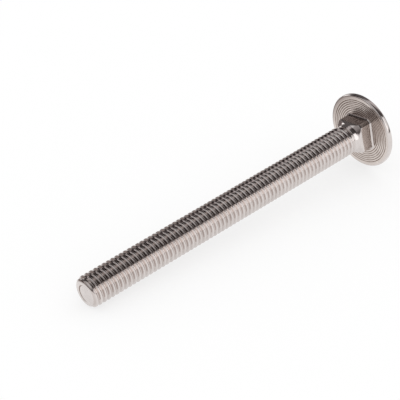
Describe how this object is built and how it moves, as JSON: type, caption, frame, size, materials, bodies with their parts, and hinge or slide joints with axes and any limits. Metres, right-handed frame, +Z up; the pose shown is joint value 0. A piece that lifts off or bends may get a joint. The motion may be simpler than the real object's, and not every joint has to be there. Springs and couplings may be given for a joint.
{
  "type": "carriage bolt",
  "caption": "Round-head square-neck bolt with a low domed head and a right-hand thread along its whole shank.",
  "frame": {"origin": "on the ground under the middle of the bolt's length, as it lies on the rim of its head and the end of its thread", "axes": "+X towards the domed head, +Z up; the bolt's own axis leans 3.9 degrees, head end up"},
  "size_m": [0.0946, 0.02, 0.02],
  "materials": {
    "stainless_steel": "bright, as forged and rolled"
  },
  "bodies": {
    "root": {"carriage_bolt": "stainless_steel"}
  },
  "joints": []
}
